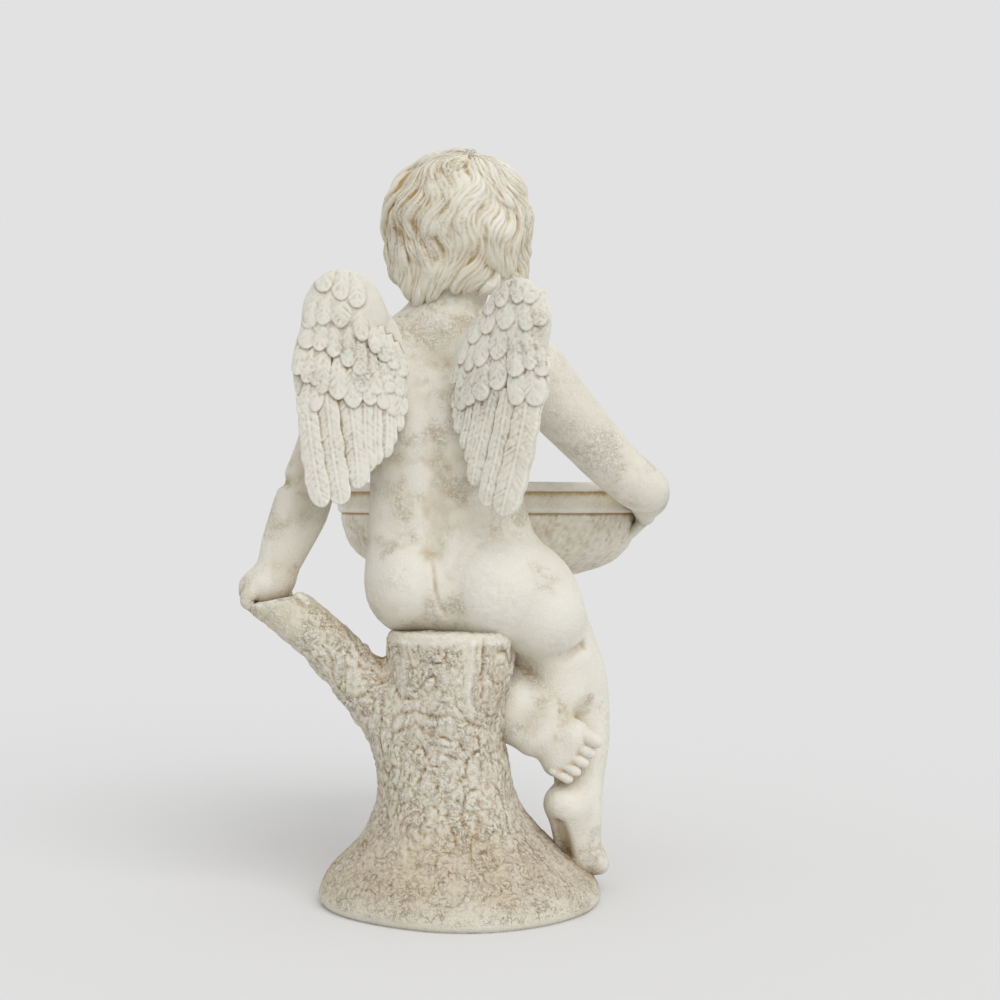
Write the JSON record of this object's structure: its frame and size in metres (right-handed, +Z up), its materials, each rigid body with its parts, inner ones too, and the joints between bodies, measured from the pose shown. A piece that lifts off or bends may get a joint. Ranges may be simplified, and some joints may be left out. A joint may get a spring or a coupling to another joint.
{
  "type": "cherub garden statue",
  "caption": "One-piece cast stone garden statue of a winged child seated on a tree stump, one hand on a broken branch and the other round a wide empty basin on its lap",
  "frame": {"origin": "centre of the round base's underside, on the ground", "axes": "+Z up, the figure looks towards -Y, its left side is +X"},
  "size_m": [0.4978, 0.572, 0.8488],
  "materials": {
    "cast_stone": "weathered cream cast stone, matt, with ochre stain in the hollows"
  },
  "bodies": {
    "root": {"cherub_statue": "cast_stone"}
  },
  "joints": []
}
